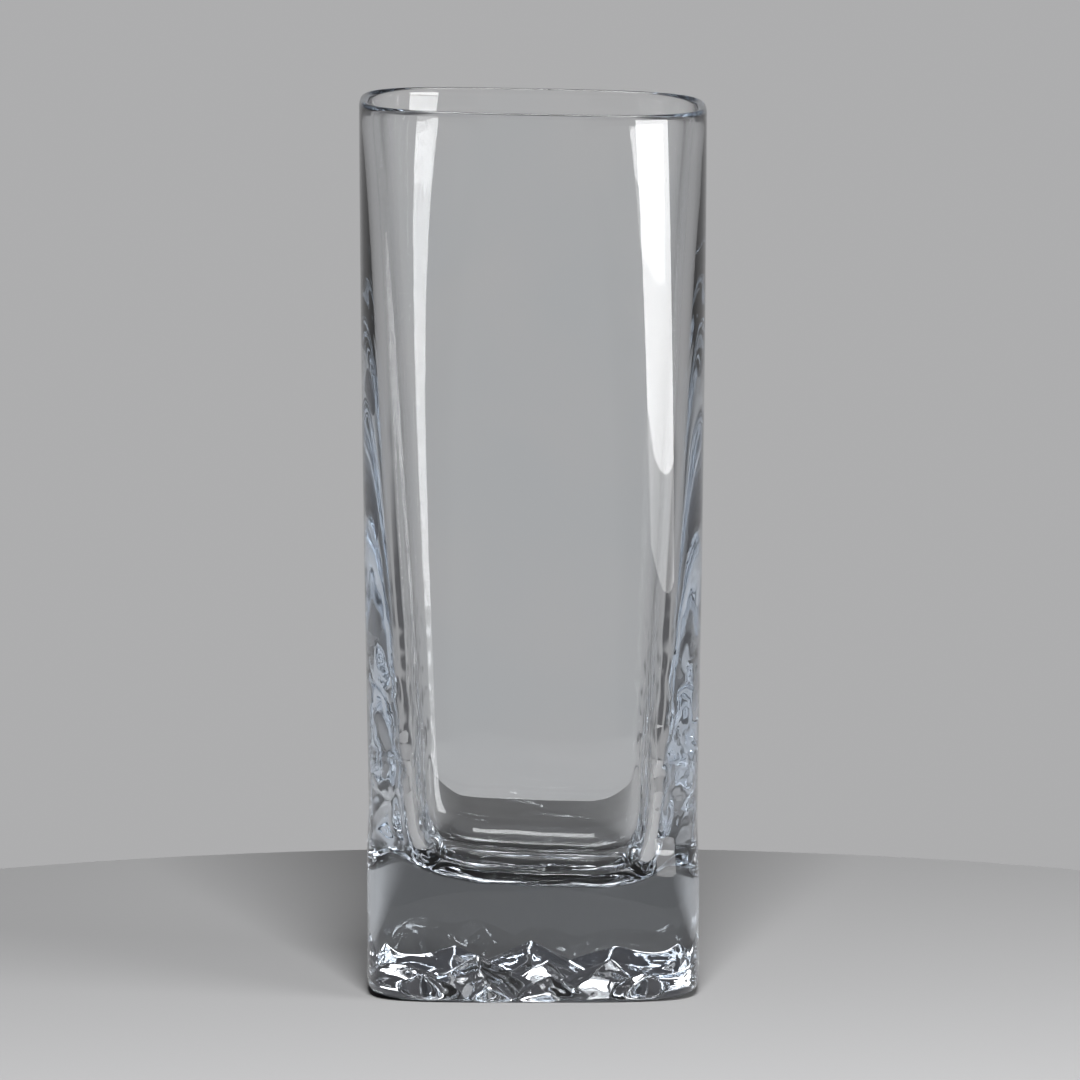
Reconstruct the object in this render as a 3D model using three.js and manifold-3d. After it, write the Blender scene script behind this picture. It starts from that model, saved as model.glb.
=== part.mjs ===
// A tall cooler glass with a soft square section, a thick clear foot and a craggy moulded underside.
// Millimetres, +Z up, the glass stands on the plane z = 0 and is centred on the axis.
import * as THREE from "three";
import { mergeVertices } from "three/addons/utils/BufferGeometryUtils.js";
import Module from "manifold-3d";

// Outside. A squareness of 2 is a circle, and a higher one is a squarer section.
const height = 165;
const rimWidth = 64.4;
const waistWidth = 61;
const footWidth = 61.7;
const waistHeight = 33;
const footStraight = 24;
const rimSquareness = 3.4;
const footSquareness = 6;
const flareEase = 1.5;

// Inside
const rimThickness = 2;
const heelThickness = 7.5;
const heelHeight = 35;
const floorHeight = 20;
const cavitySquareness = 8;
const floorSquareness = 3.5;
const bowlRoundness = 5;

// Lip and foot
const lipDepth = 8;
const footInset = 1.4;
const footRise = 3.6;
const standSquareness = 3.2;
const ringWidth = 2.4;
const recessDepth = 1.2;
const recessDraft = 0.8;

// Crags that the mould leaves in the underside. In shares of the recess half width: across, front to back,
// half length, half depth; then the rise in millimetres, the number of sides and the turn in degrees
const crags = [
  [-0.02, 0.58, 0.62, 0.5, 7.6, 6, 0],
  [-0.55, 0.62, 0.62, 0.42, 6.5, 4, 8],
  [0.53, 0.6, 0.64, 0.44, 6.5, 5, -6],
  [-0.92, 0.42, 0.36, 0.5, 5.8, 5, 30],
  [0.92, 0.4, 0.36, 0.5, 5.8, 4, 50],
  [-0.38, -0.3, 0.58, 0.5, 7.0, 5, 14],
  [0.54, -0.2, 0.6, 0.46, 6.0, 5, 40],
  [0.08, 0.08, 0.5, 0.4, 5.0, 5, 40],
  [-0.82, -0.22, 0.36, 0.44, 5.2, 4, 70],
  [0.1, -0.72, 0.44, 0.34, 4.2, 6, 12],
  [-0.74, -0.74, 0.4, 0.36, 4.8, 5, 15],
  [0.74, -0.7, 0.42, 0.38, 4.8, 5, 10],
  [-0.3, -0.84, 0.3, 0.26, 3.4, 5, 50],
];
const cragReach = 1;

// Fineness of the mesh
const around = 96;
const wallSteps = 12;
const bowlSteps = 9;
const footSideSteps = 5;
const footEdgeSteps = 4;
const lipSideSteps = 2;
const lipEdgeSteps = 6;
const weld = 1e-3;

const wasm = await Module();
wasm.setup();

const lerp = THREE.MathUtils.lerp;

// Half of the outside width at a height: a foot, a slight waist, then a flare that stands up at the rim.
function outerHalf(z) {
  if (z <= waistHeight) {
    const pinch = THREE.MathUtils.smoothstep(z, footStraight, waistHeight);
    return lerp(footWidth, waistWidth, pinch) / 2;
  }
  const rise = (z - waistHeight) / (height - waistHeight);
  return lerp(waistWidth, rimWidth, 1 - (1 - rise) ** flareEase) / 2;
}

function outerSquareness(z) {
  return lerp(footSquareness, rimSquareness, z / height);
}

// Share of the way from the heel up to the rim.
function wallRise(z) {
  return (z - heelHeight) / (height - heelHeight);
}

// Half of the cavity width at a height above the heel.
function innerHalf(z) {
  return outerHalf(z) - lerp(heelThickness, rimThickness, wallRise(z));
}

function innerSquareness(z) {
  return lerp(cavitySquareness, rimSquareness, wallRise(z));
}

// Points of a profile, each a half width, a height and a squareness.
function profile(steps, pointAt) {
  return Array.from({ length: steps + 1 }, (_, i) => new THREE.Vector3(...pointAt(i / steps)));
}

function outerSide(low, high, steps) {
  return profile(steps, (t) => {
    const z = lerp(low, high, t);
    return [outerHalf(z), z, outerSquareness(z)];
  });
}

function innerSide(high, low, steps) {
  return profile(steps, (t) => {
    const z = lerp(high, low, t);
    return [innerHalf(z), z, innerSquareness(z)];
  });
}

// A profile turned about the axis, then pushed from a circle out to a square with soft corners.
function softSquare(points) {
  const geometry = new THREE.LatheGeometry(points, around).rotateX(Math.PI / 2);
  const position = geometry.getAttribute("position");
  const place = new THREE.Vector3();
  for (let i = 0; i < position.count; i += 1) {
    place.fromBufferAttribute(position, i);
    const radius = Math.hypot(place.x, place.y);
    if (radius > weld) {
      const power = points[i % points.length].z;
      const across = Math.abs(place.x / radius) ** power;
      const along = Math.abs(place.y / radius) ** power;
      const push = (across + along) ** (-1 / power);
      position.setXYZ(i, place.x * push, place.y * push, place.z);
    }
  }
  return geometry;
}

function solid(geometry) {
  const bare = new THREE.BufferGeometry();
  bare.setAttribute("position", geometry.getAttribute("position"));
  bare.setIndex(geometry.index);
  const merged = mergeVertices(bare, weld);
  return new wasm.Manifold(
    new wasm.Mesh({
      numProp: 3,
      vertProperties: merged.getAttribute("position").array,
      triVerts: new Uint32Array(merged.index.array),
    }),
  );
}

function geometryOf(shape) {
  const mesh = shape.getMesh();
  const geometry = new THREE.BufferGeometry();
  geometry.setAttribute("position", new THREE.BufferAttribute(mesh.vertProperties, 3));
  geometry.setIndex(new THREE.BufferAttribute(mesh.triVerts, 1));
  geometry.computeVertexNormals();
  return geometry;
}

const group = new THREE.Group();

function add(name, geometry) {
  const glass = new THREE.MeshStandardMaterial({
    color: 0xd6e4e6,
    roughness: 0.05,
    metalness: 0,
    transparent: true,
    opacity: 0.45,
  });
  const mesh = new THREE.Mesh(geometry, glass);
  mesh.name = name;
  group.add(mesh);
}

// Lip: the top band of the wall, closed by a half round edge
const lipFoot = height - lipDepth;
const edgeRadius = rimThickness / 2;
const edgeHeight = height - edgeRadius;
const edgeOuter = outerHalf(edgeHeight);
const edgeInner = innerHalf(edgeHeight);
const roundEdge = profile(lipEdgeSteps, (t) => {
  const turn = t * Math.PI;
  return [
    (edgeOuter + edgeInner) / 2 + ((edgeOuter - edgeInner) / 2) * Math.cos(turn),
    edgeHeight + edgeRadius * Math.sin(turn),
    lerp(outerSquareness(edgeHeight), innerSquareness(edgeHeight), t),
  ];
});
const lipOuter = outerSide(lipFoot, edgeHeight, lipSideSteps);
const lipInner = innerSide(edgeHeight, lipFoot, lipSideSteps);
add("lip", softSquare([...lipOuter, ...roundEdge.slice(1, -1), ...lipInner, lipOuter[0].clone()]));

// Sidewall: the tapering wall between the heel and the lip
const wallOuter = outerSide(heelHeight, lipFoot, wallSteps);
const wallInner = innerSide(lipFoot, heelHeight, wallSteps);
add("sidewall", softSquare([...wallOuter, ...wallInner, wallOuter[0].clone()]));

// Base: the thick clear foot, drawn in at its lower edge, with the rounded cavity floor on top
const standHalf = footWidth / 2 - footInset;
const footEdge = profile(footEdgeSteps, (t) => {
  const turn = (t * Math.PI) / 2;
  return [
    standHalf + footInset * Math.sin(turn),
    footRise * (1 - Math.cos(turn)),
    lerp(standSquareness, outerSquareness(footRise), Math.sin(turn)),
  ];
});
const footSide = outerSide(footRise, heelHeight, footSideSteps);
const bowl = profile(bowlSteps, (t) => {
  const turn = (t * Math.PI) / 2;
  const across = t < 1 ? Math.cos(turn) ** (2 / bowlRoundness) : 0;
  const down = Math.sin(turn) ** (2 / bowlRoundness);
  return [
    innerHalf(heelHeight) * across,
    lerp(heelHeight, floorHeight, down),
    lerp(cavitySquareness, floorSquareness, down),
  ];
});
const standMiddle = new THREE.Vector3(0, 0, standSquareness);
const block = solid(softSquare([standMiddle, ...footEdge, ...footSide.slice(1), ...bowl]));

// Underside: a shallow recess inside the standing ring, with crags rising from it into the glass
const recessHalf = standHalf - ringWidth;
const cragTop = Math.max(...crags.map((crag) => crag[4])) + cragReach;
const core = [
  new THREE.Vector3(0, -cragReach, standSquareness),
  new THREE.Vector3(recessHalf, -cragReach, standSquareness),
  new THREE.Vector3(recessHalf, 0, standSquareness),
  new THREE.Vector3(recessHalf - recessDraft, cragTop, standSquareness),
  new THREE.Vector3(0, cragTop, standSquareness),
];
const slab = new THREE.BoxGeometry(footWidth, footWidth, recessDepth + cragReach);
slab.translate(0, 0, (recessDepth - cragReach) / 2);
let terrain = solid(slab);
for (const [across, along, halfLength, halfDepth, rise, sides, turn] of crags) {
  const grow = (rise + cragReach) / rise;
  const crag = new THREE.ConeGeometry(grow * recessHalf, rise + cragReach, sides);
  crag.rotateX(Math.PI / 2);
  crag.scale(halfLength, halfDepth, 1);
  crag.rotateZ(THREE.MathUtils.degToRad(turn));
  crag.translate(across * recessHalf, along * recessHalf, (rise - cragReach) / 2);
  terrain = terrain.add(solid(crag));
}
const relief = terrain.intersect(solid(softSquare(core)));
add("base", geometryOf(block.subtract(relief)));

export default group;
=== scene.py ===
"""A tall clear cooler glass with a soft square section, a heavy foot and a craggy moulded underside."""

import math
from types import SimpleNamespace

import bpy
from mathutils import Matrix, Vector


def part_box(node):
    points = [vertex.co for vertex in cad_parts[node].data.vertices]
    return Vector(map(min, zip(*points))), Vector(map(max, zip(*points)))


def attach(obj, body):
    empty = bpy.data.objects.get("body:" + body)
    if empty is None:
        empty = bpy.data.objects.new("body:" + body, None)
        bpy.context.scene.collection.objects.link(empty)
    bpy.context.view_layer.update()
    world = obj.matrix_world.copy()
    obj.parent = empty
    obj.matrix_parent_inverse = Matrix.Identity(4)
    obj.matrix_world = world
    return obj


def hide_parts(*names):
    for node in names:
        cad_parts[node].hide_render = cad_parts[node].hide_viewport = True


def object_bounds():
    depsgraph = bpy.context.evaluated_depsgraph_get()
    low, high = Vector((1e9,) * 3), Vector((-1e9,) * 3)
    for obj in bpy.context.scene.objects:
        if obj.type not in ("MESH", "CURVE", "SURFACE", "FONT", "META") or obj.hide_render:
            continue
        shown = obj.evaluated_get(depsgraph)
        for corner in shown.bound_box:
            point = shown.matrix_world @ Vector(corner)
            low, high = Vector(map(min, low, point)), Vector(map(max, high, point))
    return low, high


bl_info = {
    "name": "Cooler Glass",
    "version": (1, 0, 0),
    "blender": (4, 5, 0),
    "location": "View3D > Sidebar > Cooler Glass",
    "description": "Builds a clear cooler glass and the small studio that it stands in",
    "category": "Object",
}

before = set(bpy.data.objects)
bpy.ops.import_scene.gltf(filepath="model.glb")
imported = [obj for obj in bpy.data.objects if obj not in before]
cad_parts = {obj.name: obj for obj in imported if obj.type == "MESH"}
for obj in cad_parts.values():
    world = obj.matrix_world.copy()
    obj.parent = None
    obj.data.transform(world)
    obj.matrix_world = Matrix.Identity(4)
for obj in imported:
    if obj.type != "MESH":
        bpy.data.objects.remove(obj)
CAD_LOW, CAD_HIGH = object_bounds()
BASE_LOW, BASE_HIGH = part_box("base")

MM = 0.001

# Fineness of the mesh: faces round the glass, and rows along each stretch of its profile
AROUND = 320
ROWS = {"bowl": 32, "inside": 100, "lip": 12, "outside": 44, "foot": 10, "ring": 3, "underside": 90}
WELD = 0.001 * MM

# How far a crag's own edges are melted round, as a share of its half width
RIDGE_MELT = 0.05

# Shares of the way along a stretch, or out from the middle, over which a detail sets in
CRAGS_SET_IN = (0.0, 0.06)
FLOOR_WAVES_SET_IN = (1.0, 0.8)
SIDE_CHIPS_SET_IN = (0.5, 0.85)

# Levels over which the slope and the ripple set in
SLOPE_SETS_IN = (8 * MM, 18 * MM)
RIPPLE_SETS_IN = (0.5 * MM, 4 * MM)

# Noise runs from 0 to 1
NOISE_MIDDLE = 0.5

# The waves of the cavity floor run from front to back
FLOOR_WAVES_DRAWN = (1, 0.35, 1)

# Where the fine waves of the sides set in: away from the middle, at the heel and above the foot
WAVES_ASIDE = (19 * MM, 24 * MM)
WAVES_HEEL = (52 * MM, 38 * MM)
WAVES_FOOT = (23 * MM, 29 * MM)

# Patches of the glass colour, and grit with the levels where it wears the standing ring
CLOUD_SCALE = 38
CLOUD_DETAIL = 2
CLOUD_EDGE = (0.35, 0.65)
GRIT_SCALE = 900
GRIT_DETAIL = 3
GRIT_EDGE = (0.45, 0.7)
RING_WORN = (0.05 * MM, 0.25 * MM)

# Flags round the glass: how many, the edges of the narrow and the wide ones as cosines of the turn, and how
# softly the wide ones set in, as a step of the sine of the slope
FLAG_COUNT = 8
HIGH_FLAG_EDGE = (0.2, 0.95)
LOW_FLAG_EDGE = (-0.85, -0.2)
FLAG_FADE = 0.04

# Sockets of the Mix node for colours: the result, and the two tones
MIX_RESULT = 2
MIX_TONES = (6, 7)

TABLE_SIDES = 192
FILM_WIDTH = 36
FAR_LIMIT = 50
BOUNCES = 32
GLOSSY_BOUNCES = 24

# Crags of the underside. In shares of the recess half width: across, front to back, half length, half depth,
# then the rise in millimetres, the number of sides and the turn in degrees
CRAGS = (
    (-0.02, 0.58, 0.62, 0.5, 7.6, 6, 0),
    (-0.55, 0.62, 0.62, 0.42, 6.5, 4, 8),
    (0.53, 0.6, 0.64, 0.44, 6.5, 5, -6),
    (-0.92, 0.42, 0.36, 0.5, 5.8, 5, 30),
    (0.92, 0.4, 0.36, 0.5, 5.8, 4, 50),
    (-0.38, -0.3, 0.58, 0.5, 7.0, 5, 14),
    (0.54, -0.2, 0.6, 0.46, 6.0, 5, 40),
    (0.08, 0.08, 0.5, 0.4, 5.0, 5, 40),
    (-0.82, -0.22, 0.36, 0.44, 5.2, 4, 70),
    (0.1, -0.72, 0.44, 0.34, 4.2, 6, 12),
    (-0.74, -0.74, 0.4, 0.36, 4.8, 5, 15),
    (0.74, -0.7, 0.42, 0.38, 4.8, 5, 10),
    (-0.3, -0.84, 0.3, 0.26, 3.4, 5, 50),
)


def length(label, description, default):
    """A size in metres that a user may change."""
    return bpy.props.FloatProperty(
        name=label, description=description, default=default, min=0, precision=5, unit="LENGTH"
    )


def number(label, description, default, low=0.0):
    """A plain number that a user may change."""
    return bpy.props.FloatProperty(name=label, description=description, default=default, min=low)


def colour(label, description, default):
    """A linear colour that a user may change."""
    return bpy.props.FloatVectorProperty(
        name=label, description=description, default=default, size=3, min=0, max=1, subtype="COLOR"
    )


class CoolerGlassShape(bpy.types.PropertyGroup):
    """Sizes of the glass."""

    height: length("Height", "From the table to the highest point of the lip", CAD_HIGH.z - CAD_LOW.z)
    rim_width: length("Rim Width", "Outside, across the flats at the lip", CAD_HIGH.x - CAD_LOW.x)
    waist_width: length("Waist Width", "Outside, across the flats at the narrowest level", 61 * MM)
    foot_width: length("Foot Width", "Outside, across the flats of the foot", BASE_HIGH.x - BASE_LOW.x)
    waist_height: length("Waist Height", "Level of the narrowest width", 33 * MM)
    foot_straight: length("Straight Foot", "Level up to which the foot keeps its width", 24 * MM)
    rim_squareness: number("Rim Squareness", "2 is round, higher is squarer", 3.4, 2)
    foot_squareness: number("Foot Squareness", "2 is round, higher is squarer", 6, 2)
    stand_squareness: number("Stand Squareness", "Of the outline that the glass stands on", 3.2, 2)
    flare_ease: number("Flare Ease", "1 is a straight flare, higher stands up at the rim", 1.5, 1)
    rim_thickness: length("Rim Thickness", "Wall at the lip", 2 * MM)
    heel_thickness: length("Heel Thickness", "Wall where it meets the rounded floor", 7.5 * MM)
    heel_height: length("Heel Height", "Level where the wall meets the rounded floor", BASE_HIGH.z)
    floor_height: length("Floor Height", "Level of the middle of the cavity floor", 20 * MM)
    cavity_squareness: number("Cavity Squareness", "2 is round, higher is squarer", 8, 2)
    floor_squareness: number("Floor Squareness", "Of the cavity's outline close to its floor", 3.5, 2)
    bowl_roundness: number("Floor Roundness", "2 is a round bowl, higher is flatter", 5, 2)
    foot_inset: length("Foot Inset", "How far the foot's lower edge draws in", 1.4 * MM)
    foot_rise: length("Foot Rise", "Level where the foot's lower edge starts to draw in", 3.6 * MM)
    ring_width: length("Standing Ring", "Width of the flat ring that the glass stands on", 2.4 * MM)
    recess_depth: length("Recess Depth", "Least depth of the underside's recess", 1.2 * MM)
    crag_softness: length("Crag Softness", "How far the crags' ridges are melted round", 0.5 * MM)
    crag_chips: length("Crag Chips", "Height of the small chips in the crags' faces", 0.1 * MM)
    side_chips: length("Side Chips", "Height of the chips close to the left and right sides", 0.7 * MM)
    crag_chip_scale: number("Crag Chip Scale", "Chips in a metre", 300)
    crag_drift: length("Crag Drift", "How far the crags' ridges wander", 3 * MM)
    crag_drift_scale: number("Crag Drift Scale", "Wanderings of a ridge in a metre", 70)
    rim_slope: number("Rim Slope", "Fall of the lip to the right", 0.02)
    floor_slope: number("Floor Slope", "Fall of the cavity floor to the right", 0.05)
    ripple: length("Ripple", "Height of the slow waves in the surfaces", 0.08 * MM)
    ripple_scale: number("Ripple Scale", "Waves in a metre", 55)
    floor_ripple: length("Floor Ripple", "Height of the waves in the cavity floor", 0.45 * MM)
    floor_ripple_scale: number("Floor Ripple Scale", "Waves of the cavity floor in a metre", 110)
    side_waves: length("Side Waves", "Height of the fine waves in the cavity's side walls", 0.3 * MM)
    heel_waves: number("Heel Waves", "How many times higher the fine waves are at the heel", 3)
    side_wave_scale: number("Side Wave Scale", "Fine waves in a metre", 260)
    side_wave_top: length("Side Wave Top", "Level where the fine waves end", 85 * MM)


class CoolerGlassFinish(bpy.types.PropertyGroup):
    """Finish of the glass."""

    clear: colour("Clear", "Colour of the surface where it is clearest", (0.99, 0.99, 0.99))
    cool: colour("Cool", "Colour of the surface where it is coolest", (0.97, 0.98, 0.985))
    depth_tint: colour("Depth Tint", "Colour that thick glass turns light to", (0.15, 0.48, 0.85))
    depth_density: number("Depth Density", "How fast thick glass takes its tint, for each metre", 2)
    index: number("Refractive Index", "How far the glass bends light", 1.52, 1)
    polish: number("Polish", "Roughness of the polished faces", 0.004)
    scuff: number("Scuff", "Roughness of the worn standing ring", 0.22)


class CoolerGlassStudio(bpy.types.PropertyGroup):
    """The table, the backdrop, the lamps and the camera."""

    table: colour("Table", "Colour of the table top", (0.42, 0.42, 0.425))
    table_radius: length("Table Radius", "From the glass to the edge of the table", 0.19)
    backdrop: colour("Backdrop", "Colour behind the glass", (0.42, 0.42, 0.425))
    flag: colour("Flag", "Colour of the dark cards that stand beside the view", (0.05, 0.05, 0.055))
    high_flag: number("High Flag", "Darkness of the narrow flags at the height of the walls", 0.1)
    low_flag: number("Low Flag", "Darkness of the wide flags at the height of the foot", 0.85)
    low_flag_top: number("Low Flag Top", "Sine of the slope where the wide flags start", -0.19, -1)
    # Painted shade: what the glass shows of the backdrop is darkened after each inner reflection, up to a
    # limit, to paint dark edges into the walls; no light is lost there.
    painted_shade_turn_keeps: number("Turn Keeps", "Share of the backdrop that is left after each inner reflection", 0.75)
    most_turns: number("Most Turns", "Inner reflections after which the backdrop dims no further", 8)
    ceiling_low: number("Ceiling Low", "Sine of the slope where the ceiling starts to darken", 0.06)
    ceiling_high: number("Ceiling High", "Sine of the slope where the ceiling is darkest", 0.2)
    ambient: number("Ambient", "Light from all round", 0.15)
    key_power: number("Key Power", "Watts of the soft lamp at the front right", 11)
    key_turn: number("Key Turn", "Degrees from the camera round to the soft lamp", 54)
    key_distance: length("Key Distance", "From the glass to the soft lamp", 1.0)
    key_wide: length("Key Width", "Width of the soft lamp", 0.72)
    key_low: number("Key Low", "Level of the soft lamp's lower edge, in metres", 0.006, -1)
    key_tall: length("Key Height", "Height of the soft lamp", 0.42)
    sheen_power: number("Sheen Power", "Watts of the low glow under the soft lamp", 0.36)
    sheen_tall: length("Sheen Height", "Height of the low glow under the soft lamp", 0.045)
    top_power: number("Top Power", "Watts of the soft lamp over the camera", 18)
    top_side: length("Top Side", "From the glass's axis to the right", 0.03)
    top_front: length("Top Front", "From the glass's axis to the front", 0.85)
    top_height: length("Top Height", "Above the table", 0.85)
    top_wide: length("Top Width", "Width of the soft lamp over the camera", 0.3)
    glint_power: number("Glint Power", "Watts of the soft lamp overhead that only gloss shows", 3)
    glint_back: length("Glint Back", "From the glass's axis to the back", 0.5)
    glint_height: length("Glint Height", "Above the table", 0.9)
    glint_wide: length("Glint Width", "Width of the soft lamp overhead", 0.4)
    camera_distance: length("Camera Distance", "From the glass's axis, level", 2.5)
    camera_height: length("Camera Height", "Above the table", 0.3526)
    camera_side: length("Camera Side", "To the right of the glass's axis", 0.0013)
    camera_pitch: number("Camera Pitch", "Degrees below level", 6.165)
    camera_lens: number("Camera Lens", "Focal length in millimetres on a 36 mm frame", 451.1)


class Wire:
    """An output socket, whose arithmetic adds Math nodes to its tree."""

    def __init__(self, socket):
        self.socket = socket

    def sibling(self, key):
        """Another output of the same node."""
        return Wire(self.socket.node.outputs[key])

    def math(self, operation, *operands):
        return add_node(self.socket.id_data, "ShaderNodeMath", {"operation": operation}, *operands)

    def __add__(self, other):
        return self.math("ADD", self, other)

    def __radd__(self, other):
        return self.math("ADD", other, self)

    def __sub__(self, other):
        return self.math("SUBTRACT", self, other)

    def __rsub__(self, other):
        return self.math("SUBTRACT", other, self)

    def __mul__(self, other):
        return self.math("MULTIPLY", self, other)

    def __rmul__(self, other):
        return self.math("MULTIPLY", other, self)

    def __truediv__(self, other):
        return self.math("DIVIDE", self, other)

    def __rtruediv__(self, other):
        return self.math("DIVIDE", other, self)

    def __pow__(self, other):
        return self.math("POWER", self, other)

    def __rpow__(self, other):
        return self.math("POWER", other, self)

    def __neg__(self):
        return self.math("MULTIPLY", self, -1)

    def __abs__(self):
        return self.math("ABSOLUTE", self)

    def sin(self):
        return self.math("SINE", self)

    def cos(self):
        return self.math("COSINE", self)

    def larger(self, other, softness):
        return self.math("SMOOTH_MAX", self, other, softness)

    def larger_of(self, other):
        return self.math("MAXIMUM", self, other)

    def smaller_of(self, other):
        return self.math("MINIMUM", self, other)

    def ease(self, low, high):
        """0 below low, 1 above high, with a smooth step between."""
        settings = {"interpolation_type": "SMOOTHSTEP"}
        tree = self.socket.id_data
        return add_node(tree, "ShaderNodeMapRange", settings, self, low, high)

    def clamped(self):
        return add_node(self.socket.id_data, "ShaderNodeClamp", {}, self)


def plug(socket, value):
    """Links a wire to an input socket, or sets the socket to a plain value."""
    if isinstance(value, Wire):
        socket.id_data.links.new(value.socket, socket)
    else:
        socket.default_value = value


def add_node(tree, kind, settings, *ordered, output=0, **named):
    """A node with its settings first, then its inputs by order or by name; gives one output as a wire."""
    node = tree.nodes.new(kind)
    for key, value in settings.items():
        setattr(node, key, value)
    for socket, value in zip(node.inputs, ordered):
        plug(socket, value)
    for key, value in named.items():
        plug(node.inputs[key.replace("_", " ")], value)
    return Wire(node.outputs[output])


def axes(place):
    """The three parts of a place."""
    x = add_node(place.socket.id_data, "ShaderNodeSeparateXYZ", {}, place)
    return x, x.sibling("Y"), x.sibling("Z")


def noise(place, scale, detail=1):
    """Smooth noise from 0 to 1, by its waves in a metre."""
    tree = place.socket.id_data
    return add_node(tree, "ShaderNodeTexNoise", {}, Vector=place, Scale=scale, Detail=detail)


def swing(place, scale):
    """Smooth noise from -1 to 1, by its waves in a metre."""
    return (noise(place, scale) - NOISE_MIDDLE) * 2


def mix_colours(tree, share, low, high):
    """A colour between two."""
    tone = add_node(tree, "ShaderNodeMix", {"data_type": "RGBA"}, share, output=MIX_RESULT)
    for index, colours in zip(MIX_TONES, (low, high)):
        tone.socket.node.inputs[index].default_value = (*colours, 1)
    return tone


def outer_half(size, z):
    """Half of the outside width at a height."""
    pinch = z.ease(size.foot_straight, size.waist_height)
    rise = ((z - size.waist_height) / (size.height - size.waist_height)).clamped()
    flare = 1 - (1 - rise) ** size.flare_ease
    narrowing = (size.waist_width - size.foot_width) * pinch
    return (size.foot_width + narrowing + (size.rim_width - size.waist_width) * flare) / 2


def inner_half(size, z):
    """Half of the cavity width at a height above the heel."""
    rise = (z - size.heel_height) / (size.height - size.heel_height)
    thickness = size.heel_thickness + (size.rim_thickness - size.heel_thickness) * rise
    return outer_half(size, z) - thickness


def outer_squareness(size, z):
    """Squareness of the outside at a height."""
    return size.foot_squareness + (size.rim_squareness - size.foot_squareness) * (z / size.height)


def inner_squareness(size, z):
    """Squareness of the cavity at a height above the heel."""
    rise = (z - size.heel_height) / (size.height - size.heel_height)
    return size.cavity_squareness + (size.rim_squareness - size.cavity_squareness) * rise


def between(low, high, share):
    """A value part of the way from low to high."""
    return low + (high - low) * share


def bowl(size, along):
    """The rounded cavity floor, from its middle out to the heel."""
    turn = (1 - along) * (math.pi / 2)
    across = turn.cos() ** (2 / size.bowl_roundness)
    down = turn.sin() ** (2 / size.bowl_roundness)
    half = inner_half(size, size.heel_height) * across
    squareness = between(size.cavity_squareness, size.floor_squareness, down)
    return half, between(size.heel_height, size.floor_height, down), squareness


def inside(size, along):
    """The inside of the wall, from the heel up to the lip."""
    z = between(size.heel_height, size.height - size.rim_thickness / 2, along)
    return inner_half(size, z), z, inner_squareness(size, z)


def lip(size, along):
    """The half round edge, from the inside over to the outside."""
    z = size.height - size.rim_thickness / 2
    inner = inner_half(size, z)
    outer = outer_half(size, z)
    turn = (1 - along) * math.pi
    half = (outer + inner) / 2 + (outer - inner) / 2 * turn.cos()
    edge = between(inner_squareness(size, z), outer_squareness(size, z), along)
    return half, z + size.rim_thickness / 2 * turn.sin(), edge


def outside(size, along):
    """The outside, from the lip down to the foot's lower edge."""
    z = between(size.height - size.rim_thickness / 2, size.foot_rise, along)
    return outer_half(size, z), z, outer_squareness(size, z)


def foot(size, along):
    """The foot's lower edge, which draws in most at the corners."""
    turn = (1 - along) * (math.pi / 2)
    drawn = 1 - turn.sin()
    half = size.foot_width / 2 - size.foot_inset * drawn
    z = size.foot_rise * (1 - turn.cos())
    return half, z, between(outer_squareness(size, size.foot_rise), size.stand_squareness, drawn)


def ring(size, along):
    """The flat standing ring."""
    half = size.foot_width / 2 - size.foot_inset - size.ring_width * along
    return half, 0.0, size.stand_squareness


def recess_half(size):
    """Half of the width of the recess inside the standing ring."""
    return size.foot_width / 2 - size.foot_inset - size.ring_width


def underside(size, along):
    """The recess inside the standing ring, before its crags rise."""
    return recess_half(size) * (1 - along), 0.0, size.stand_squareness


def crag_height(size, place):
    """Height of the craggy ceiling over a place of the underside: the highest of many soft pyramids."""
    tree = place.socket.id_data

    def vector(operation, *operands, **named):
        return add_node(tree, "ShaderNodeVectorMath", {"operation": operation}, *operands, **named)

    wander = add_node(tree, "ShaderNodeTexNoise", {}, Vector=place, Scale=size.crag_drift_scale, output=1)
    wander = vector("SUBTRACT", wander, (NOISE_MIDDLE,) * 3)
    drift = vector("SCALE", wander, Scale=2 * size.crag_drift)
    share = vector("SCALE", vector("ADD", place, drift), Scale=1 / recess_half(size))
    ceiling = size.recess_depth
    upright = {"rotation_type": "Z_AXIS"}
    for across, back, long, deep, rise, sides, turn in CRAGS:
        spot = vector("SUBTRACT", share, (across, back, 0))
        spot = add_node(tree, "ShaderNodeVectorRotate", upright, spot, Angle=-math.radians(turn))
        spot = vector("MULTIPLY", spot, (1 / long, 1 / deep, 0))
        steepest = None
        for side in range(sides):
            angle = math.radians((side + 0.5) * 360 / sides - 90)
            facing = (math.cos(angle), math.sin(angle), 0)
            fall = vector("DOT_PRODUCT", spot, facing, output=1) / math.cos(math.pi / sides)
            steepest = fall if steepest is None else steepest.larger(fall, RIDGE_MELT)
        ceiling = ceiling.larger((1 - steepest) * (rise * MM), size.crag_softness)
    x, _, _ = axes(place)
    side = (abs(x) / recess_half(size)).ease(*SIDE_CHIPS_SET_IN)
    return ceiling + swing(place, size.crag_chip_scale) * between(size.crag_chips, size.side_chips, side)


def floor_waves(size, place):
    """Height of the waves that the plunger leaves in the cavity floor."""
    tree = place.socket.id_data
    drawn = add_node(tree, "ShaderNodeVectorMath", {"operation": "MULTIPLY"}, place, FLOOR_WAVES_DRAWN)
    return swing(drawn, size.floor_ripple_scale) * size.floor_ripple


def side_waves(size, place):
    """Depth of the fine waves in the cavity's left and right walls, strongest at the heel."""
    x, _, z = axes(place)
    share = abs(x).ease(*WAVES_ASIDE) * z.ease(*WAVES_FOOT) * z.ease(size.side_wave_top, WAVES_HEEL[1])
    wave = swing(place, size.side_wave_scale) * size.side_waves * share
    return wave * between(1, size.heel_waves, z.ease(*WAVES_HEEL))


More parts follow.
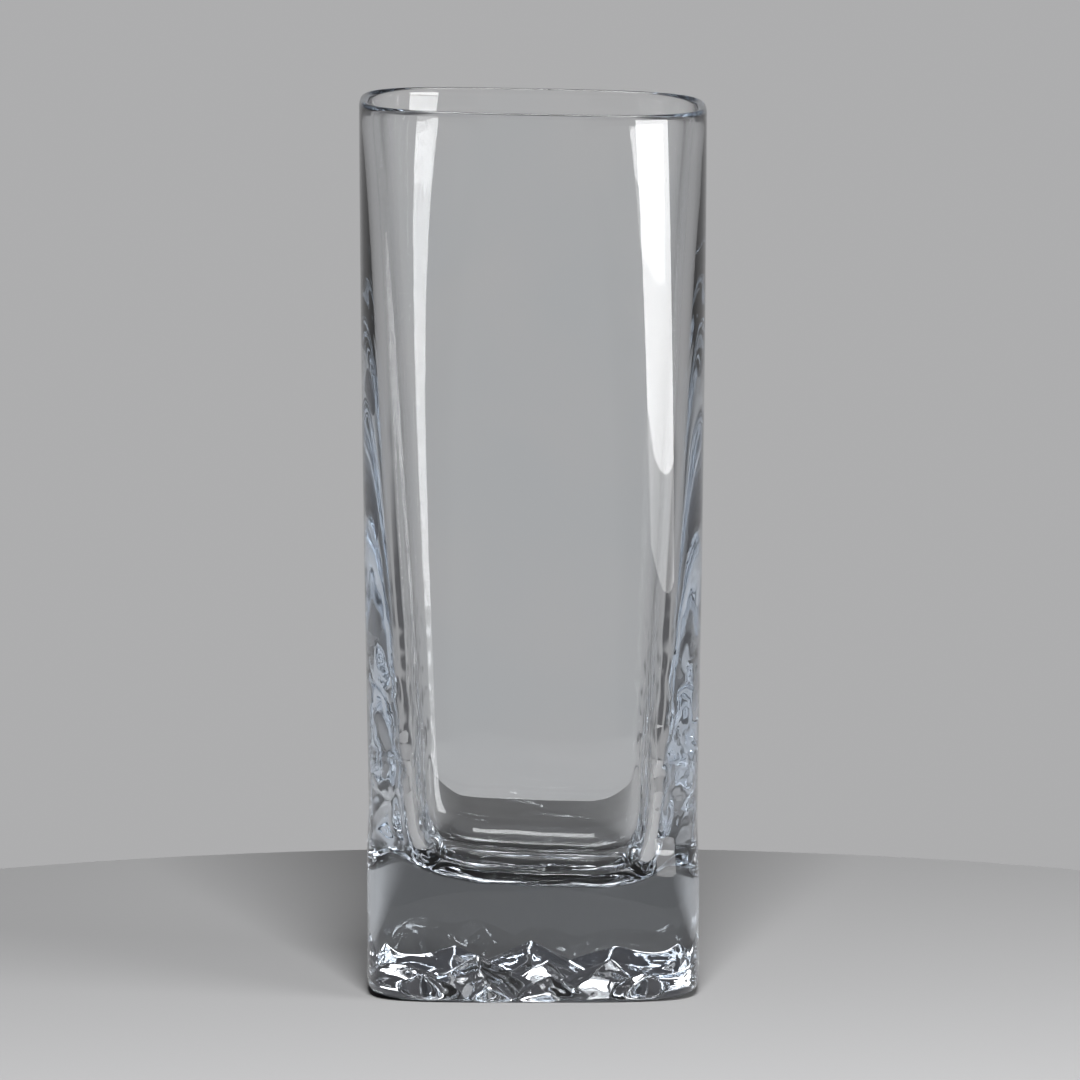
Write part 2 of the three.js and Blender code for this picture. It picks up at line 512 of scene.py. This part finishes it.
def sweep(tree, size, profile):
    """A band of faces swept round the axis along one stretch of the profile."""
    rows = ROWS[profile.__name__]
    grid = add_node(tree, "GeometryNodeMeshGrid", {}, 1, 1, AROUND + 1, rows + 1)
    across, up, _ = axes(add_node(tree, "GeometryNodeInputPosition", {}))
    turn = (across + 0.5) * math.tau
    along = (up + 0.5).clamped()
    half, z, squareness = profile(size, along)
    corner = abs(turn.cos()) ** squareness + abs(turn.sin()) ** squareness
    reach = half * corner ** (-1 / squareness)
    place = add_node(tree, "ShaderNodeCombineXYZ", {}, reach * turn.cos(), reach * turn.sin(), z)
    if profile is underside:
        z = crag_height(size, place) * along.ease(*CRAGS_SET_IN)
    if profile is bowl:
        z = z + floor_waves(size, place) * along.ease(*FLOOR_WAVES_SET_IN)
    if profile in (bowl, inside):
        reach = reach + side_waves(size, place)
    if profile in (underside, bowl, inside):
        place = add_node(tree, "ShaderNodeCombineXYZ", {}, reach * turn.cos(), reach * turn.sin(), z)
    return add_node(tree, "GeometryNodeSetPosition", {}, grid, Position=place)


def settle(tree, size, mesh):
    """The slow waves in the surfaces, and the slight fall of the lip and the cavity floor to the right."""
    position = add_node(tree, "GeometryNodeInputPosition", {})
    x, _, z = axes(position)
    upper = z.ease(size.heel_height, size.height)
    slope = between(size.floor_slope, size.rim_slope, upper)
    fall = x * slope * z.ease(*SLOPE_SETS_IN) + size.rim_width / 2 * size.rim_slope * upper
    swell = (noise(position, size.ripple_scale) - 1) * size.ripple * z.ease(*RIPPLE_SETS_IN)
    normal = add_node(tree, "GeometryNodeInputNormal", {})
    wave = add_node(tree, "ShaderNodeVectorMath", {"operation": "SCALE"}, normal, Scale=swell)
    drop = add_node(tree, "ShaderNodeCombineXYZ", {}, 0.0, 0.0, -fall)
    offset = add_node(tree, "ShaderNodeVectorMath", {"operation": "ADD"}, wave, drop)
    return add_node(tree, "GeometryNodeSetPosition", {}, mesh, Offset=offset)


def glass_tree(shape, material):
    """The node tree of the whole glass, with one named input for each size."""
    tree = bpy.data.node_groups.new("cooler_glass_form", "GeometryNodeTree")
    tree.interface.new_socket("Geometry", in_out="OUTPUT", socket_type="NodeSocketGeometry")
    keys = list(CoolerGlassShape.__annotations__)
    for key in keys:
        label = shape.bl_rna.properties[key].name
        tree.interface.new_socket(label, in_out="INPUT", socket_type="NodeSocketFloat")
    entry = add_node(tree, "NodeGroupInput", {})
    size = SimpleNamespace(**{key: entry.sibling(i) for i, key in enumerate(keys)})
    whole = add_node(tree, "GeometryNodeJoinGeometry", {})
    for profile in (bowl, inside, lip, outside, foot, ring, underside):
        plug(whole.socket.node.inputs[0], sweep(tree, size, profile))
    mesh = add_node(tree, "GeometryNodeMergeByDistance", {}, whole, Distance=WELD)
    mesh = add_node(tree, "GeometryNodeFlipFaces", {}, mesh)
    mesh = settle(tree, size, mesh)
    mesh = add_node(tree, "GeometryNodeSetShadeSmooth", {}, mesh)
    mesh = add_node(tree, "GeometryNodeRealizeInstances", {}, mesh)
    mesh = add_node(tree, "GeometryNodeSetMaterial", {}, mesh, Material=material)
    leave = tree.nodes.new("NodeGroupOutput")
    plug(leave.inputs[0], mesh)
    return tree


def plain_mesh(name, tree, values):
    """An object at the origin that holds the tree's result as a plain mesh."""
    carrier = bpy.data.objects.new(name + "_form", bpy.data.meshes.new(name + "_form"))
    bpy.context.scene.collection.objects.link(carrier)
    modifier = carrier.modifiers.new("Form", "NODES")
    modifier.node_group = tree
    sockets = [item for item in tree.interface.items_tree if item.in_out == "INPUT"]
    for socket, value in zip(sockets, values):
        modifier[socket.identifier] = value
    graph = bpy.context.evaluated_depsgraph_get()
    mesh = bpy.data.meshes.new_from_object(carrier.evaluated_get(graph), depsgraph=graph)
    bpy.data.objects.remove(carrier)
    piece = bpy.data.objects.new(name, mesh)
    bpy.context.scene.collection.objects.link(piece)
    return piece


def check_closed(piece):
    """Stops the script if the piece isn't one closed shell."""
    uses = {}
    for polygon in piece.data.polygons:
        for key in polygon.edge_keys:
            uses[key] = uses.get(key, 0) + 1
    open_edges = sum(1 for count in uses.values() if count != 2)
    if open_edges:
        raise RuntimeError(f"{piece.name} has {open_edges} open edges")


def clear_glass(finish):
    """Clear polished glass: faintly cool, tinted in depth, and scuffed on the ring that it stands on."""
    material = bpy.data.materials.new("clear_glass")
    material.use_nodes = True
    tree = material.node_tree
    shader = tree.nodes["Principled BSDF"]
    place = add_node(tree, "ShaderNodeTexCoord", {}, output=3)
    cloud = noise(place, CLOUD_SCALE, CLOUD_DETAIL)
    plug(shader.inputs["Base Color"], mix_colours(tree, cloud.ease(*CLOUD_EDGE), finish.clear, finish.cool))
    _, _, z = axes(place)
    worn = 1 - z.ease(*RING_WORN)
    grit = noise(place, GRIT_SCALE, GRIT_DETAIL).ease(*GRIT_EDGE)
    plug(shader.inputs["Roughness"], finish.polish + worn * grit * finish.scuff)
    shader.inputs["IOR"].default_value = finish.index
    shader.inputs["Transmission Weight"].default_value = 1
    tint = (*finish.depth_tint, 1)
    depth = add_node(tree, "ShaderNodeVolumeAbsorption", {}, Color=tint, Density=finish.depth_density)
    plug(tree.nodes["Material Output"].inputs["Volume"], depth)
    return material


class COOLERGLASS_OT_tumbler(bpy.types.Operator):
    """Build the glass: one continuous piece from the cavity floor over the lip to the craggy underside"""

    bl_idname = "cooler_glass.tumbler"
    bl_label = "Build Glass"

    def execute(self, context):
        shape = context.scene.cooler_glass_shape
        material = clear_glass(context.scene.cooler_glass_finish)
        tree = glass_tree(shape, material)
        values = [getattr(shape, key) for key in CoolerGlassShape.__annotations__]
        piece = plain_mesh("tumbler", tree, values)
        check_closed(piece)
        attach(piece, "root")
        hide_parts("base", "sidewall", "lip")
        return {"FINISHED"}


def table_top(studio):
    """A round pale table top under the glass."""
    bpy.ops.mesh.primitive_circle_add(vertices=TABLE_SIDES, radius=studio.table_radius, fill_type="NGON")
    table = bpy.context.object
    table.name = "table_top"
    material = bpy.data.materials.new("pale_table")
    material.use_nodes = True
    shader = material.node_tree.nodes["Principled BSDF"]
    shader.inputs["Base Color"].default_value = (*studio.table, 1)
    shader.inputs["Roughness"].default_value = 1
    shader.inputs["Specular IOR Level"].default_value = 0
    table.data.materials.append(material)


def studio_world(studio):
    """A plain backdrop all round for the glass to show, between dark flags and under a dark ceiling, and
    darkened by painted shade after each inner reflection.
    """
    world = bpy.data.worlds.new("studio")
    bpy.context.scene.world = world
    world.use_nodes = True
    tree = world.node_tree
    seen = add_node(tree, "ShaderNodeLightPath", {}, output="Is Camera Ray")
    bent = seen.sibling("Is Glossy Ray").larger_of(seen.sibling("Is Transmission Ray"))
    x, y, z = axes(add_node(tree, "ShaderNodeTexCoord", {}))
    heading = y.math("ARCTAN2", y, x)
    aside = -(heading * FLAG_COUNT).cos()
    high_flags = aside.ease(*HIGH_FLAG_EDGE) * studio.high_flag
    low_flags = aside.ease(*LOW_FLAG_EDGE) * studio.low_flag
    low = z.ease(studio.low_flag_top, studio.low_flag_top - FLAG_FADE)
    flags = between(high_flags, low_flags, low)
    ceiling = z.ease(studio.ceiling_low, studio.ceiling_high)
    # Painted shade: inner reflections, counted from the ray depths, darken the backdrop that the glass
    # shows.
    depth = seen.sibling("Ray Depth") - seen.sibling("Transmission Depth")
    turns = (depth - 1).larger_of(0.0).smaller_of(studio.most_turns)
    kept = (1 - flags.larger_of(ceiling)) * studio.painted_shade_turn_keeps ** turns
    shade = (1 - kept) * bent * (1 - seen)
    tone = mix_colours(tree, shade, studio.backdrop, studio.flag)
    background = tree.nodes["Background"]
    plug(background.inputs["Color"], tone)
    shown = seen.larger_of(bent)
    plug(background.inputs["Strength"], shown + (1 - shown) * studio.ambient)


def soft_lamp(name, place, aim, width, tall, power):
    """A soft lamp that faces a point."""
    data = bpy.data.lights.new(name, "AREA")
    data.shape = "RECTANGLE"
    data.size = width
    data.size_y = tall
    data.energy = power
    lamp = bpy.data.objects.new(name, data)
    lamp.location = place
    lamp.rotation_euler = (aim - lamp.location).to_track_quat("-Z", "Y").to_euler()
    lamp.visible_camera = False
    bpy.context.scene.collection.objects.link(lamp)
    return lamp


def beside(turn, distance, level):
    """A place round the glass, by degrees from the camera, and the point of the axis at its level."""
    turn = math.radians(turn)
    axis = (CAD_LOW + CAD_HIGH) / 2
    axis.z = level
    place = axis.copy()
    place.x += distance * math.sin(turn)
    place.y -= distance * math.cos(turn)
    return place, axis


def studio_lamps(studio):
    """A soft lamp at the front right with a low glow under it, one over the camera and one overhead."""
    middle = (CAD_LOW + CAD_HIGH) / 2
    place, aim = beside(studio.key_turn, studio.key_distance, studio.key_low + studio.key_tall / 2)
    soft_lamp("key_lamp", place, aim, studio.key_wide, studio.key_tall, studio.key_power)
    place, aim = beside(studio.key_turn, studio.key_distance, studio.key_low - studio.sheen_tall / 2)
    soft_lamp("sheen_lamp", place, aim, studio.key_wide, studio.sheen_tall, studio.sheen_power)
    top = middle.copy()
    top.x = studio.top_side
    top.y = -studio.top_front
    top.z = studio.top_height
    fill = soft_lamp("top_lamp", top, middle, studio.top_wide, studio.top_wide, studio.top_power)
    fill.visible_glossy = False
    above = middle.copy()
    above.y = studio.glint_back
    above.z = studio.glint_height
    glint = soft_lamp("glint_lamp", above, middle, studio.glint_wide, studio.glint_wide, studio.glint_power)
    glint.visible_diffuse = False


def studio_camera(studio):
    """The camera at the photograph's place."""
    data = bpy.data.cameras.new("view")
    data.lens = studio.camera_lens
    data.sensor_width = FILM_WIDTH
    data.clip_end = FAR_LIMIT
    camera = bpy.data.objects.new("view", data)
    camera.location = (studio.camera_side, -studio.camera_distance, studio.camera_height)
    camera.rotation_euler = (math.radians(90 - studio.camera_pitch), 0, 0)
    bpy.context.scene.collection.objects.link(camera)
    bpy.context.scene.camera = camera


class COOLERGLASS_OT_studio(bpy.types.Operator):
    """Set the table, the backdrop, the lamps and the camera"""

    bl_idname = "cooler_glass.studio"
    bl_label = "Set Studio"

    def execute(self, context):
        scene = context.scene
        studio = scene.cooler_glass_studio
        table_top(studio)
        studio_world(studio)
        studio_lamps(studio)
        studio_camera(studio)
        scene.view_settings.view_transform = "Standard"
        scene.cycles.max_bounces = BOUNCES
        scene.cycles.glossy_bounces = GLOSSY_BOUNCES
        scene.cycles.transmission_bounces = BOUNCES
        scene.cycles.caustics_refractive = False
        scene.cycles.caustics_reflective = False
        return {"FINISHED"}


class COOLERGLASS_PT_sidebar(bpy.types.Panel):
    """The glass's sizes, finish and studio in the sidebar"""

    bl_idname = "COOLERGLASS_PT_sidebar"
    bl_label = "Cooler Glass"
    bl_space_type = "VIEW_3D"
    bl_region_type = "UI"
    bl_category = "Cooler Glass"

    def draw(self, context):
        for group, operator in PANEL_ROWS:
            box = self.layout.box()
            settings = getattr(context.scene, group)
            for key in type(settings).__annotations__:
                box.prop(settings, key)
            if operator:
                box.operator(operator)


PANEL_ROWS = (
    ("cooler_glass_shape", None),
    ("cooler_glass_finish", "cooler_glass.tumbler"),
    ("cooler_glass_studio", "cooler_glass.studio"),
)
GROUPS = {
    "cooler_glass_shape": CoolerGlassShape,
    "cooler_glass_finish": CoolerGlassFinish,
    "cooler_glass_studio": CoolerGlassStudio,
}
CLASSES = (*GROUPS.values(), COOLERGLASS_OT_tumbler, COOLERGLASS_OT_studio, COOLERGLASS_PT_sidebar)


def register():
    for cls in CLASSES:
        bpy.utils.register_class(cls)
    for name, group in GROUPS.items():
        setattr(bpy.types.Scene, name, bpy.props.PointerProperty(type=group))


def unregister():
    for name in GROUPS:
        delattr(bpy.types.Scene, name)
    for cls in reversed(CLASSES):
        bpy.utils.unregister_class(cls)


def main():
    register()
    bpy.ops.cooler_glass.tumbler()
    bpy.ops.cooler_glass.studio()


if __name__ == "__main__":
    main()
